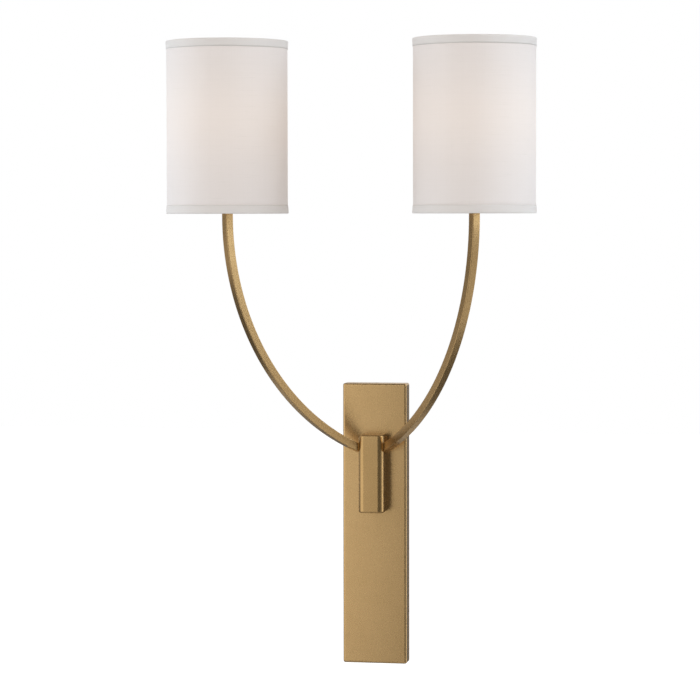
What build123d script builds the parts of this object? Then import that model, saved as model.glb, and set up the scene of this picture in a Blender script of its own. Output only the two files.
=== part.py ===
from build123d import *
import math
import os

# Two-light wall sconce in satin brass with linen drum shades. Millimetres.
# The origin is the centre of the pan's back, on the wall. +X is to the right of someone who faces
# the light, +Y goes into the wall and +Z is up.

# Pan: the shallow pressed backplate
pan_width = 69.85
pan_height = 304.8
pan_depth = 19.05
pan_wall = 1.5
pan_edge = 2.2

# Strap: folded steel that the pan slips over, screwed to the wall box
strap_width = 25.0
strap_thickness = 2.0
strap_tab = 13.0
strap_bend = 1.0
strap_end_gap = 0.4
box_screw_spacing = 83.3
box_slot_width = 4.6
box_slot_length = 10.0
supply_hole_diameter = 16.0

# Screws, in the sizes that the pieces below use
thread_gap = 0.05
pass_gap = 0.15
screw_slot_width = 0.9
screw_slot_depth = 0.9
screw_head_round = 0.6
grub_diameter = 4.0
grub_length = 5.0
grub_recess = 0.2
grub_key = 2.0
grub_key_depth = 2.0
earth_screw_diameter = 4.0
earth_head_diameter = 8.0
earth_head_height = 2.6
earth_screw_height = -70.0
block_screw_diameter = 4.0
block_screw_length = 11.0
block_screw_head_diameter = 7.6
block_screw_head_height = 2.6
block_screw_height = 30.0

# Terminal block on the strap
terminal_width = 22.0
terminal_depth = 11.0
terminal_height = 16.0
terminal_bottom = 98.0
terminal_edge = 1.0
terminal_pitch = 11.0
terminal_screw_diameter = 3.0
terminal_screw_length = 2.4
terminal_screw_spacing = 8.0
terminal_fixing_diameter = 2.6
terminal_fixing_head_diameter = 4.8
terminal_fixing_head_height = 1.8

# Arm block on the pan's front
block_width = 27.5
block_depth = 26.5
block_height = 83.9
block_top = 98.1
block_round = 6.0
block_edge = 1.8

# Hollow threaded tube that holds the block and passes the leads
nipple_diameter = 9.8
nipple_bore = 7.6
nipple_grip = 4.4
nipple_stub = 1.5
nut_width = 14.3
nut_height = 4.5
washer_diameter = 15.5
washer_thickness = 1.0
block_bore_depth = 23.0

# Arms: square tubes on an arc that ends upright under each shade
arm_side = 8.4
arm_wall = 1.0
arm_edge = 0.6
arm_joint_gap = 0.03
arm_set_in = 4.3
arm_tangent_drop = 2.0
arm_entry = 10.0
root_reach = 22.0
root_height = 76.4

# Leads inside the arms
lead_diameter = 2.6
lead_hole_diameter = 4.4
lead_lane = 1.6
lead_turn_in = 8.0
lead_turn_up = 4.5
lead_turn_straight = 20.0
lead_wall_gap = 2.3
lead_grip = 4.0
lead_straight = 4.0

# Shades: their places, then the drum, its tape and its wires
shade_spacing = 258.0
shade_reach = 163.3
shade_rim = 335.9
shade_height = 177.8
shade_diameter = 127.0
fabric_thickness = 0.5
liner_thickness = 0.5
trim_thickness = 0.9
trim_height = 8.5
trim_turn_in = 6.5
trim_round = 1.3
glue_gap = 0.05
wire_diameter = 2.4
spoke_count = 3
spoke_notch_gap = 0.3

# Coupling and spun cup between the arm and the lamp holder
coupling_wall = 2.2
coupling_socket = 6.0
coupling_neck = 7.0
coupling_round = 1.0
cup_gap = 1.2
cup_wall = 0.8
cup_height = 14.0
cup_round = 3.0

# Candelabra lamp holder
holder_base_diameter = 25.0
holder_base_height = 22.2
holder_flange_diameter = 33.0
holder_flange_thickness = 2.4
holder_skirt_diameter = 27.6
holder_skirt_height = 15.4
holder_nipple_depth = 10.0
contact_floor_height = 14.2
contact_recess_depth = 2.0
contact_diameter = 6.0
contact_thickness = 1.6
shell_wall = 0.5
shell_lip = 0.7
shell_lip_thickness = 0.8
shell_top_drop = 1.8

# Shade fitter and the threaded ring that clamps it
turning_gap = 0.2
fitter_gap = 0.5
fitter_thickness = 1.2
fitter_lip = 3.0
ring_gap = 0.3
ring_seat_gap = 0.05
ring_wall = 4.9
ring_height = 7.0
ring_flutes = 24
ring_flute_radius = 0.7
ring_round = 0.6
ring_washer_thickness = 1.0

# Candelabra lamp
bulb_gap = 0.35
bulb_thread_diameter = 11.7
bulb_base_wall = 0.4
bulb_seat_gap = 0.3
bulb_joint_gap = 0.05
bulb_tip_diameter = 4.8
bulb_tip_height = 2.6
bulb_tip_round = 0.65
bulb_collar_rise = 0.6
bulb_collar_height = 3.0
bulb_collar_wall = 0.45
bulb_neck_diameter = 13.2
bulb_neck_height = 4.0
bulb_diameter = 35.0
bulb_belly_height = 28.0
bulb_length = 80.0
bulb_point_diameter = 6.0
bulb_point_height = 2.4
bulb_glass_wall = 0.7
stem_diameter = 4.8
stem_height = 17.0
stem_foot_thickness = 2.0
stem_lip = 0.6
filament_diameter = 1.6
filament_length = 36.0
filament_circle = 8.4
filament_count = 4

# Places worked out from the sizes above
shade_x = shade_spacing / 2
shade_top = shade_rim + shade_height
pan_front_inside = -(pan_depth - pan_wall)

# Each arm lies in an upright plane through its shade's axis and the point where both planes cross
arm_run = math.hypot(shade_x, shade_reach - root_reach)
arm_plan_angle = math.degrees(math.atan2(shade_reach - root_reach, shade_x))
arm_tangent = shade_rim - arm_tangent_drop
arm_drop = arm_tangent - root_height
arm_radius = (arm_run ** 2 + arm_drop ** 2) / (2 * arm_run)
arm_top = shade_rim + arm_entry
arm_pocket_floor = block_width / 2 - arm_set_in

# Heights on the shade's axis, from the arm's end up
coupling_bottom = arm_top - coupling_socket
coupling_top = arm_top + coupling_neck
holder_seat = coupling_top + cup_wall
flange_bottom = holder_seat + holder_base_height
flange_top = flange_bottom + holder_flange_thickness
holder_top = flange_top + holder_skirt_height
contact_floor = holder_seat + contact_floor_height
shell_seat = contact_floor + contact_recess_depth
shell_top = holder_top - shell_top_drop
fitter_bottom = flange_top + turning_gap
fitter_top = fitter_bottom + fitter_thickness
ring_washer_bottom = fitter_top + turning_gap
ring_washer_top = ring_washer_bottom + ring_washer_thickness
ring_bottom = ring_washer_top + ring_seat_gap
bulb_tip = contact_floor + contact_thickness + bulb_seat_gap
bulb_base_bottom = bulb_tip + bulb_tip_height + bulb_joint_gap
bulb_collar = holder_top + bulb_collar_rise
bulb_neck = bulb_collar + bulb_base_wall + bulb_joint_gap

# Radii on the shade's axis
fabric_radius = shade_diameter / 2 - trim_thickness - glue_gap
liner_radius = fabric_radius - fabric_thickness
liner_inside = liner_radius - liner_thickness
wire_radius = wire_diameter / 2
wire_circle = liner_inside - glue_gap - wire_radius
wire_height = trim_thickness + glue_gap + wire_radius
skirt_radius = holder_skirt_diameter / 2
ring_inside = skirt_radius + ring_gap
ring_outside = ring_inside + ring_wall
fitter_inside = skirt_radius + fitter_gap
fitter_outside = ring_outside + fitter_lip
shell_inside = bulb_thread_diameter / 2 + bulb_gap
shell_outside = shell_inside + shell_wall
holder_cavity = shell_outside + shell_lip + thread_gap
coupling_radius = arm_side / math.sqrt(2) + coupling_wall
nipple_hole_radius = nipple_diameter / 2 + thread_gap


def turned(outline, rounds=None):
    """Solid turned about Z from (radius, height) corners; rounds gives a corner's own radius."""
    rounds = rounds or {}
    radii = [rounds.get(corner, 0) for corner in range(len(outline))]
    edge = FilletPolyline(*outline, radius=radii, close=True)
    return revolve(Plane.XZ * make_face(edge), Axis.Z)


def tube(inside, outside, bottom, top):
    """Plain ring or tube about Z."""
    return turned([(inside, bottom), (outside, bottom), (outside, top), (inside, top)])


def rod(start, end, radius):
    """Round rod between two points."""
    run = Vector(*end) - Vector(*start)
    return Solid.make_cylinder(radius, run.length, Plane(origin=start, z_dir=run))


def slotted_screw(diameter, length, head_diameter, head_height):
    """Screw that points down, with its head standing on the XY plane."""
    head = turned(
        [(0, 0), (head_diameter / 2, 0), (head_diameter / 2, head_height), (0, head_height)],
        {2: screw_head_round},
    )
    slot = Pos(0, 0, head_height) * Box(head_diameter, screw_slot_width, 2 * screw_slot_depth)
    shank = Pos(0, 0, -length / 2) * Cylinder(diameter / 2, length)
    return head - slot + shank


def on_axis(side, shape):
    """Shape drawn about Z, moved to the left (-1) or right (1) shade's axis."""
    return Pos(side * shade_x, -shade_reach, 0) * shape


def arm_theta(inward):
    """Angle round the arc, in radians, where the arm's centre line is this far from X = 0."""
    run = (shade_x - inward) * arm_run / shade_x
    return math.acos(1 - run / arm_radius)


def arm_point(side, theta):
    """Point on an arm's centre line, this far round its arc."""
    run = arm_radius * (1 - math.cos(theta))
    share = run / arm_run
    x = side * shade_x * (1 - share)
    y = -shade_reach + share * (shade_reach - root_reach)
    return Vector(x, y, arm_tangent - arm_radius * math.sin(theta))


def arm_bar(side, section, inward):
    """Section drawn along an arm, from its top down and round to this far from X = 0."""
    start = Pos(0, 0, arm_tangent) * section
    straight = extrude(start, amount=arm_top - arm_tangent)
    arc_axis = Axis((arm_radius, 0, arm_tangent), (0, -1, 0))
    bend = revolve(start, arc_axis, math.degrees(arm_theta(inward)))
    turn = arm_plan_angle if side < 0 else 180 - arm_plan_angle
    return on_axis(side, Rot(0, 0, turn) * (straight + bend))


def lead_corner(side):
    """Point in the block where a lead that comes straight out of its arm reaches its own lane."""
    theta = arm_theta(arm_pocket_floor)
    start = arm_point(side, theta)
    share = math.sin(theta) / arm_run
    way = Vector(-side * shade_x * share, (shade_reach - root_reach) * share, -math.cos(theta))
    return start + way * ((arm_pocket_floor - lead_lane) / abs(way.X))


block_bore_height = lead_corner(1).Z
lead_depth = -(strap_thickness + lead_wall_gap + lead_diameter / 2)


def make_backplate():
    pan = Pos(0, -pan_depth / 2, 0) * Box(pan_width, pan_depth, pan_height)
    back = pan.faces().sort_by(Axis.Y)[-1]
    pan = fillet(pan.edges() - back.edges(), min(pan_edge, 2 * pan_wall))
    inside_width = pan_width - 2 * pan_wall
    inside_height = pan_height - 2 * pan_wall
    pan -= Pos(0, pan_front_inside / 2, 0) * Box(inside_width, -pan_front_inside, inside_height)
    nipple_hole = Cylinder(nipple_diameter / 2 + pass_gap, 2 * pan_wall)
    pan -= Pos(0, -pan_depth, block_bore_height) * Rot(90, 0, 0) * nipple_hole
    screw_hole = Cylinder(block_screw_diameter / 2 + pass_gap, 2 * pan_wall)
    pan -= Pos(0, -pan_depth, block_screw_height) * Rot(90, 0, 0) * screw_hole
    grub_hole = Cylinder(grub_diameter / 2 + pass_gap, 2 * pan_height)
    return pan - Pos(0, grub_y(), 0) * grub_hole


def strap_half_height():
    return pan_height / 2 - pan_wall - strap_end_gap


def grub_y():
    """Depth of the grub screws: the middle of the strap's tabs."""
    return -(strap_tab + strap_thickness) / 2


def make_wall_strap():
    half = strap_half_height()
    inner = half - strap_thickness
    bend_outside = strap_bend + strap_thickness
    outline = [
        (0, -half),
        (-strap_tab, -half),
        (-strap_tab, -inner),
        (-strap_thickness, -inner),
        (-strap_thickness, inner),
        (-strap_tab, inner),
        (-strap_tab, half),
        (0, half),
    ]
    radii = [bend_outside, 0, 0, strap_bend, strap_bend, 0, 0, bend_outside]
    face = make_face(FilletPolyline(*outline, radius=radii, close=True))
    strap = extrude(Plane.YZ * face, amount=strap_width / 2, both=True)
    slot = Rot(0, 0, 90) * SlotOverall(box_slot_length, box_slot_width)
    for height in (-box_screw_spacing / 2, box_screw_spacing / 2):
        strap -= extrude(Plane.XZ * Pos(0, height) * slot, amount=strap_thickness, both=True)
    strap -= Rot(90, 0, 0) * Cylinder(supply_hole_diameter / 2, 2 * strap_thickness)
    earth_hole = Cylinder(earth_screw_diameter / 2 + thread_gap, 2 * strap_thickness)
    strap -= Pos(0, 0, earth_screw_height) * Rot(90, 0, 0) * earth_hole
    fixing_hole = Cylinder(terminal_fixing_diameter / 2 + thread_gap, 2 * strap_thickness)
    strap -= Pos(0, 0, terminal_middle()) * Rot(90, 0, 0) * fixing_hole
    return strap - Pos(0, grub_y(), 0) * Cylinder(grub_diameter / 2 + thread_gap, pan_height)


def make_pan_grub_screws():
    key = extrude(RegularPolygon(grub_key / 2, 6, major_radius=False), amount=-grub_key_depth)
    screw = Pos(0, 0, -grub_length / 2) * Cylinder(grub_diameter / 2, grub_length) - key
    upper = Pos(0, grub_y(), pan_height / 2 - grub_recess) * screw
    return Compound([upper.solid(), mirror(upper, Plane.XY).solid()])


def make_earth_screw():
    screw = slotted_screw(earth_screw_diameter, strap_thickness, earth_head_diameter, earth_head_height)
    return Pos(0, -strap_thickness, earth_screw_height) * Rot(90, 0, 0) * screw


def terminal_middle():
    return terminal_bottom + terminal_height / 2


def terminal_front():
    return -(strap_thickness + terminal_depth)


def terminal_screw_places():
    """X and Z of the clamp screws: a pair on each pole."""
    half_pitch = terminal_pitch / 2
    half_spacing = terminal_screw_spacing / 2
    return [
        (x, terminal_middle() + z)
        for x in (-half_pitch, half_pitch)
        for z in (-half_spacing, half_spacing)
    ]


def make_terminal_block():
    centre = Pos(0, -(strap_thickness + terminal_depth / 2), terminal_middle())
    block = centre * Box(terminal_width, terminal_depth, terminal_height)
    front = block.faces().sort_by(Axis.Y)[0]
    block = fillet(front.edges(), terminal_edge)
    for x in (-terminal_pitch / 2, terminal_pitch / 2):
        lead_hole = Cylinder(lead_diameter / 2 + pass_gap, 2 * terminal_height)
        block -= Pos(x, lead_depth, terminal_middle()) * lead_hole
    screw_hole = Cylinder(terminal_screw_diameter / 2 + thread_gap, 2 * terminal_screw_length)
    for x, z in terminal_screw_places():
        block -= Pos(x, terminal_front(), z) * Rot(90, 0, 0) * screw_hole
    fixing_hole = Cylinder(terminal_fixing_diameter / 2 + pass_gap, 2 * terminal_depth)
    return block - Pos(0, terminal_front(), terminal_middle()) * Rot(90, 0, 0) * fixing_hole


def make_terminal_screws():
    screw = Pos(0, 0, -terminal_screw_length / 2) * Cylinder(
        terminal_screw_diameter / 2, terminal_screw_length
    )
    screw -= Box(terminal_screw_diameter, screw_slot_width, 2 * screw_slot_depth)
    return Compound(
        [(Pos(x, terminal_front(), z) * Rot(90, 0, 0) * screw).solid() for x, z in terminal_screw_places()]
    )


def make_terminal_fixing_screw():
    screw = slotted_screw(
        terminal_fixing_diameter,
        terminal_depth + strap_thickness,
        terminal_fixing_head_diameter,
        terminal_fixing_head_height,
    )
    return Pos(0, terminal_front(), terminal_middle()) * Rot(90, 0, 0) * screw


def make_arm_block():
    middle = Pos(0, -(pan_depth + block_depth / 2), block_top - block_height / 2)
    block = middle * Box(block_width, block_depth, block_height)
    front = block.faces().sort_by(Axis.Y)[0]
    block = fillet(front.edges().filter_by(Axis.Z), block_round)
    back = block.faces().sort_by(Axis.Y)[-1]
    ends = block.faces().filter_by(Axis.Z)
    block = fillet(ends.edges() - back.edges(), block_edge)
    bore = Pos(0, 0, block_bore_depth / 2) * Cylinder(nipple_hole_radius, block_bore_depth)
    block -= Pos(0, -pan_depth, block_bore_height) * Rot(90, 0, 0) * bore
    screw_depth = block_screw_length - pan_wall
    screw_hole = Pos(0, 0, screw_depth / 2) * Cylinder(block_screw_diameter / 2 + thread_gap, screw_depth)
    block -= Pos(0, -pan_depth, block_screw_height) * Rot(90, 0, 0) * screw_hole
    pocket_side = arm_side + 2 * arm_joint_gap
    pocket = RectangleRounded(pocket_side, pocket_side, arm_edge + arm_joint_gap)
    for side in (-1, 1):
        block -= arm_bar(side, pocket, arm_pocket_floor)
        block -= arm_bar(side, Circle(lead_hole_diameter / 2), 0)
    return block


def nipple_inner_end():
    """Depth of the block's nipple inside the pan, past its nut."""
    return pan_front_inside + washer_thickness + nut_height + nipple_stub


def make_block_nipple():
    start = -(pan_depth + nipple_grip)
    nipple = tube(nipple_bore / 2, nipple_diameter / 2, start, nipple_inner_end())
    return Pos(0, 0, block_bore_height) * Rot(-90, 0, 0) * nipple


def make_nipple_washer():
    bottom = pan_front_inside
    washer = tube(nipple_diameter / 2 + pass_gap, washer_diameter / 2, bottom, bottom + washer_thickness)
    return Pos(0, 0, block_bore_height) * Rot(-90, 0, 0) * washer


def make_nipple_nut():
    nut = extrude(RegularPolygon(nut_width / 2, 6, major_radius=False), amount=nut_height)
    nut -= Cylinder(nipple_hole_radius, 2 * nut_height)
    bottom = pan_front_inside + washer_thickness
    return Pos(0, bottom, block_bore_height) * Rot(-90, 0, 0) * nut


def make_block_screw():
    screw = slotted_screw(
        block_screw_diameter, block_screw_length, block_screw_head_diameter, block_screw_head_height
    )
    return Pos(0, pan_front_inside, block_screw_height) * Rot(-90, 0, 0) * screw


def make_arm(side):
    bore_side = arm_side - 2 * arm_wall
    section = RectangleRounded(arm_side, arm_side, arm_edge) - Rectangle(bore_side, bore_side)
    return arm_bar(side, section, arm_pocket_floor)


def make_lead(side):
    """Lead from the lamp holder, down the arm, through the block and up to the terminal block."""
    top = arm_point(side, 0) + Vector(0, 0, holder_seat + holder_nipple_depth - arm_tangent)
    arc_end = arm_theta(arm_pocket_floor)
    upright = Edge.make_line(top, arm_point(side, 0))
    arc = Edge.make_three_point_arc(
        arm_point(side, 0), arm_point(side, arc_end / 2), arm_point(side, arc_end)
    )
    lane_x = side * lead_lane
    pole_x = side * terminal_pitch / 2
    turn = Vector(lane_x, lead_depth, block_bore_height)
    below_pole = Vector(pole_x, lead_depth, terminal_bottom - lead_straight)
    in_pole = Vector(pole_x, lead_depth, terminal_bottom + lead_grip)
    radii = [lead_turn_in, lead_turn_up, lead_turn_straight]
    corners = [arm_point(side, arc_end), lead_corner(side), turn, below_pole, in_pole]
    route = FilletPolyline(*corners, radius=radii)
    path = Wire([upright, arc] + route.edges())
    section = Plane(origin=top, z_dir=(0, 0, -1)) * Circle(lead_diameter / 2)
    lead = sweep(section, path=path)
    share = lead.volume / (path.length * math.pi * (lead_diameter / 2) ** 2)
    print(f"lead {side:+d}: length {path.length:.1f}, radii {radii}, volume share {share:.4f}")
    return lead


def make_coupling(side):
    outline = [
        (0, coupling_bottom),
        (coupling_radius, coupling_bottom),
        (coupling_radius, coupling_top),
        (0, coupling_top),
    ]
    coupling = turned(outline, {1: coupling_round, 2: coupling_round})
    socket_side = arm_side + 2 * arm_joint_gap
    turn = arm_plan_angle if side < 0 else 180 - arm_plan_angle
    socket = extrude(Rot(0, 0, turn) * Rectangle(socket_side, socket_side), amount=coupling_socket)
    coupling -= Pos(0, 0, coupling_bottom) * socket
    coupling -= Pos(0, 0, arm_top + coupling_neck / 2) * Cylinder(nipple_hole_radius, coupling_neck)
    return on_axis(side, coupling)


def make_holder_nipple(side):
    top = holder_seat + holder_nipple_depth - thread_gap
    return on_axis(side, tube(nipple_bore / 2, nipple_diameter / 2, arm_top + thread_gap, top))


def make_socket_cup(side):
    outside = holder_base_diameter / 2 + cup_gap + cup_wall
    hole = nipple_diameter / 2 + pass_gap
    top = coupling_top + cup_height
    outline = [
        (hole, coupling_top),
        (outside, coupling_top),
        (outside, top),
        (outside - cup_wall, top),
        (outside - cup_wall, coupling_top + cup_wall),
        (hole, coupling_top + cup_wall),
    ]
    return on_axis(side, turned(outline, {1: cup_round, 4: cup_round - cup_wall}))


def make_lamp_holder(side):
    base = holder_base_diameter / 2
    flange = holder_flange_diameter / 2
    recess = contact_diameter / 2 + 2 * pass_gap
    nipple_hole_top = holder_seat + holder_nipple_depth
    outline = [
        (nipple_hole_radius, holder_seat),
        (base - cup_round, holder_seat),
        (base, holder_seat + cup_round),
        (base, flange_bottom),
        (flange, flange_bottom),
        (flange, flange_top),
        (skirt_radius, flange_top),
        (skirt_radius, holder_top),
        (holder_cavity, holder_top),
        (holder_cavity, shell_seat),
        (recess, shell_seat),
        (recess, contact_floor),
        (0, contact_floor),
        (0, nipple_hole_top),
        (nipple_hole_radius, nipple_hole_top),
    ]
    return on_axis(side, turned(outline))


def make_screw_shell(side):
    lip = shell_outside + shell_lip
    outline = [
        (shell_inside, shell_seat),
        (lip, shell_seat),
        (lip, shell_seat + shell_lip_thickness),
        (shell_outside, shell_seat + shell_lip_thickness),
        (shell_outside, shell_top),
        (shell_inside, shell_top),
    ]
    return on_axis(side, turned(outline))


def make_centre_contact(side):
    radius = contact_diameter / 2
    top = contact_floor + contact_thickness
    outline = [(0, contact_floor), (radius, contact_floor), (radius, top), (0, top)]
    return on_axis(side, turned(outline, {2: contact_thickness / 2}))


def spoke_ends(spoke):
    """Where a spoke leaves the fitter's flat ring, and where it meets the lower wire."""
    angle = math.pi / 2 + 2 * math.pi * spoke / spoke_count
    inner = fitter_outside - wire_radius
    middle = (fitter_bottom + fitter_top) / 2
    start = (inner * math.cos(angle), inner * math.sin(angle), middle)
    end = (wire_circle * math.cos(angle), wire_circle * math.sin(angle), shade_rim + wire_height)
    return start, end


def make_shade_fitter(side):
    fitter = tube(fitter_inside, fitter_outside, fitter_bottom, fitter_top)
    fitter += Pos(0, 0, shade_rim + wire_height) * Torus(wire_circle, wire_radius)
    for spoke in range(spoke_count):
        start, end = spoke_ends(spoke)
        fitter += rod(start, end, wire_radius)
    return on_axis(side, fitter)


def make_upper_wire(side):
    return on_axis(side, Pos(0, 0, shade_top - wire_height) * Torus(wire_circle, wire_radius))


def drum(inside, outside):
    """One layer of a shade's wall, between the folds of its two tapes."""
    margin = trim_thickness + glue_gap
    return tube(inside, outside, shade_rim + margin, shade_top - margin)


def make_shade_fabric(side):
    return on_axis(side, drum(liner_radius, fabric_radius))


def make_shade_liner(side):
    return on_axis(side, drum(liner_inside, liner_radius))


def lower_trim():
    """Tape folded round the lower rim: up the linen outside, round the wire and up the liner inside."""
    outside = shade_diameter / 2
    slot_outside = fabric_radius + glue_gap
    slot_inside = liner_inside - glue_gap
    pocket_inside = wire_circle - wire_radius - glue_gap
    inside = pocket_inside - trim_thickness
    pocket_top = wire_height + wire_radius + glue_gap
    fold_top = pocket_top + trim_thickness
    outline = [
        (inside, 0),
        (outside, 0),
        (outside, trim_height),
        (slot_outside, trim_height),
        (slot_outside, trim_thickness),
        (pocket_inside, trim_thickness),
        (pocket_inside, pocket_top),
        (slot_inside, pocket_top),
        (slot_inside, trim_turn_in),
        (slot_inside - trim_thickness, trim_turn_in),
        (slot_inside - trim_thickness, fold_top),
        (inside, fold_top),
    ]
    last = len(outline) - 1
    rim_round = {0: trim_round, 1: trim_round, 2: trim_thickness / 2, last: trim_round}
    return Pos(0, 0, shade_rim) * turned(outline, rim_round)


def make_lower_trim(side):
    trim = lower_trim()
    for spoke in range(spoke_count):
        start, end = spoke_ends(spoke)
        trim -= rod(start, end, wire_radius + spoke_notch_gap)
    return on_axis(side, trim)


def make_upper_trim(side):
    middle = Plane.XY.offset(shade_rim + shade_height / 2)
    return on_axis(side, mirror(lower_trim(), middle))


def make_ring_washer(side):
    return on_axis(side, tube(ring_inside, ring_outside, ring_washer_bottom, ring_washer_top))


def make_shade_ring(side):
    top = ring_bottom + ring_height
    outline = [
        (ring_inside, ring_bottom),
        (ring_outside, ring_bottom),
        (ring_outside, top),
        (ring_inside, top),
    ]
    ring = turned(outline, {1: ring_round, 2: ring_round})
    flute = Cylinder(ring_flute_radius, 2 * ring_height)
    flutes = [
        Pos(0, 0, ring_bottom + ring_height / 2) * place * flute
        for place in PolarLocations(ring_outside, ring_flutes)
    ]
    return on_axis(side, ring - flutes)


def make_bulb_contact(side):
    tip = bulb_tip_diameter / 2
    shoulder = bulb_thread_diameter / 2 - bulb_base_wall
    top = bulb_tip + bulb_tip_height
    outline = [(0, bulb_tip), (tip, bulb_tip), (shoulder, top), (0, top)]
    return on_axis(side, turned(outline, {1: bulb_tip_round}))


def make_bulb_base(side):
    outside = bulb_thread_diameter / 2
    inside = outside - bulb_base_wall
    collar_inside = bulb_neck_diameter / 2 + bulb_joint_gap
    collar_outside = collar_inside + bulb_collar_wall
    collar_top = bulb_collar + bulb_collar_height
    outline = [
        (inside, bulb_base_bottom),
        (outside, bulb_base_bottom),
        (outside, bulb_collar),
        (collar_outside, bulb_collar),
        (collar_outside, collar_top),
        (collar_inside, collar_top),
        (collar_inside, bulb_collar + bulb_base_wall),
        (inside, bulb_collar + bulb_base_wall),
    ]
    return on_axis(side, turned(outline))


def bulb_shape(inset):
    """Candle-shaped solid inside the lamp's outline by this much, open at its neck."""
    neck = bulb_neck_diameter / 2 - inset
    belly = bulb_diameter / 2 - inset
    point = bulb_point_diameter / 2 - inset
    belly_z = bulb_neck + bulb_belly_height
    neck_top = bulb_neck + bulb_neck_height
    top = bulb_neck + bulb_length - inset
    point_z = top - bulb_point_height
    lower = TangentArc((belly, belly_z), (neck, neck_top), tangent=(0, -1))
    upper = TangentArc((belly, belly_z), (point, point_z), tangent=(0, 1))
    cap = TangentArc((0, top), (point, point_z), tangent=(1, 0))
    sides = Polyline((0, top), (0, bulb_neck), (neck, bulb_neck), (neck, neck_top))
    return revolve(Plane.XZ * make_face([lower, upper, cap, sides]), Axis.Z)


def make_bulb_glass(side):
    return on_axis(side, bulb_shape(0) - bulb_shape(bulb_glass_wall))


def make_bulb_filaments(side):
    foot = bulb_neck_diameter / 2 - bulb_glass_wall - bulb_joint_gap
    stem_top = bulb_neck + stem_height
    platform = (filament_circle + filament_diameter) / 2 + stem_lip
    outline = [
        (0, bulb_neck),
        (foot, bulb_neck),
        (foot, bulb_neck + stem_foot_thickness),
        (stem_diameter / 2, bulb_neck + stem_foot_thickness),
        (stem_diameter / 2, stem_top - stem_foot_thickness),
        (platform, stem_top - stem_foot_thickness),
        (platform, stem_top),
        (0, stem_top),
    ]
    filaments = turned(outline)
    filament = Cylinder(filament_diameter / 2, filament_length)
    for place in PolarLocations(filament_circle / 2, filament_count):
        filaments += Pos(0, 0, stem_top + filament_length / 2) * place * filament
    return on_axis(side, filaments)


single_pieces = {
    "backplate": make_backplate,
    "wall_strap": make_wall_strap,
    "pan_grub_screws": make_pan_grub_screws,
    "earth_screw": make_earth_screw,
    "terminal_block": make_terminal_block,
    "terminal_screws": make_terminal_screws,
    "terminal_fixing_screw": make_terminal_fixing_screw,
    "arm_block": make_arm_block,
    "block_nipple": make_block_nipple,
    "nipple_washer": make_nipple_washer,
    "nipple_nut": make_nipple_nut,
    "block_screw": make_block_screw,
}

paired_pieces = {
    "arm": make_arm,
    "lead": make_lead,
    "coupling": make_coupling,
    "holder_nipple": make_holder_nipple,
    "socket_cup": make_socket_cup,
    "lamp_holder": make_lamp_holder,
    "screw_shell": make_screw_shell,
    "centre_contact": make_centre_contact,
    "shade_fitter": make_shade_fitter,
    "upper_wire": make_upper_wire,
    "shade_liner": make_shade_liner,
    "shade_fabric": make_shade_fabric,
    "lower_trim": make_lower_trim,
    "upper_trim": make_upper_trim,
    "ring_washer": make_ring_washer,
    "shade_ring": make_shade_ring,
    "bulb_contact": make_bulb_contact,
    "bulb_base": make_bulb_base,
    "bulb_glass": make_bulb_glass,
    "bulb_filaments": make_bulb_filaments,
}

os.makedirs("parts", exist_ok=True)
for name, make in single_pieces.items():
    export_step(make(), f"parts/{name}.step")
for side_name, side in (("left", -1), ("right", 1)):
    for name, make in paired_pieces.items():
        export_step(make(side), f"parts/{side_name}_{name}.step")
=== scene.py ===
import math

import bmesh
import bpy
from bpy.props import FloatProperty, FloatVectorProperty, IntProperty, PointerProperty
from mathutils import Matrix, Vector


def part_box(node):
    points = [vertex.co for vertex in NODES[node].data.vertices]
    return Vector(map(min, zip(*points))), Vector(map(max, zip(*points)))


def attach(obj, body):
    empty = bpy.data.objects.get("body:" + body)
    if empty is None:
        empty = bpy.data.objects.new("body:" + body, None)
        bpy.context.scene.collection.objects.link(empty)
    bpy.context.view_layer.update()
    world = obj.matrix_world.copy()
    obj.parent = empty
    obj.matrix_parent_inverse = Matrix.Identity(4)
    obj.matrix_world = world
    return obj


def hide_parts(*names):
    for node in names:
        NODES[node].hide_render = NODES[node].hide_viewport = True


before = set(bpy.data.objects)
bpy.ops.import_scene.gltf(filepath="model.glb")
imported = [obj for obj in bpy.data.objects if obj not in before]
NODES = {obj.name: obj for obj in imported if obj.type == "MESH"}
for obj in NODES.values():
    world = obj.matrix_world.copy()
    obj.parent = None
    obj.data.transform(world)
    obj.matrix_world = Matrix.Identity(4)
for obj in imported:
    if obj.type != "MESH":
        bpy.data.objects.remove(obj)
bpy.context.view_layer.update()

bl_info = {
    "name": "Two-Light Wall Sconce",
    "version": (1, 0, 0),
    "blender": (4, 5, 0),
    "location": "View3D > Sidebar > Sconce",
    "description": "Dresses a packed wall sconce with brass, linen drum shades, lamps and wall fittings",
    "category": "Object",
}

SIDES = ("left", "right")
FULL_TURN = 2 * math.pi
BACK = math.pi / 2  # Turn about Z, from X, that faces the wall
BLACK = (0, 0, 0, 1)
WHITE = (1, 1, 1, 1)

# Lengths in metres below which two places are one
MERGE_GAP = 1e-7
RADIUS_GAP = 1e-6
EDGE_GAP = 1e-5

FINE_RELIEF = 0.0001  # Depth in metres of brushing and of a moulding's texture
SHARP_DEG = 32  # Edges that turn more than this stay sharp


# Sizes and colours


def length(name, description, value):
    return FloatProperty(name=name, description=description, default=value, precision=5, unit="LENGTH")


def count(name, description, value, least):
    return IntProperty(name=name, description=description, default=value, min=least)


def colour(name, description, value):
    return FloatVectorProperty(
        name=name, description=description, subtype="COLOR", size=3, min=0, max=1, default=value
    )


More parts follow.
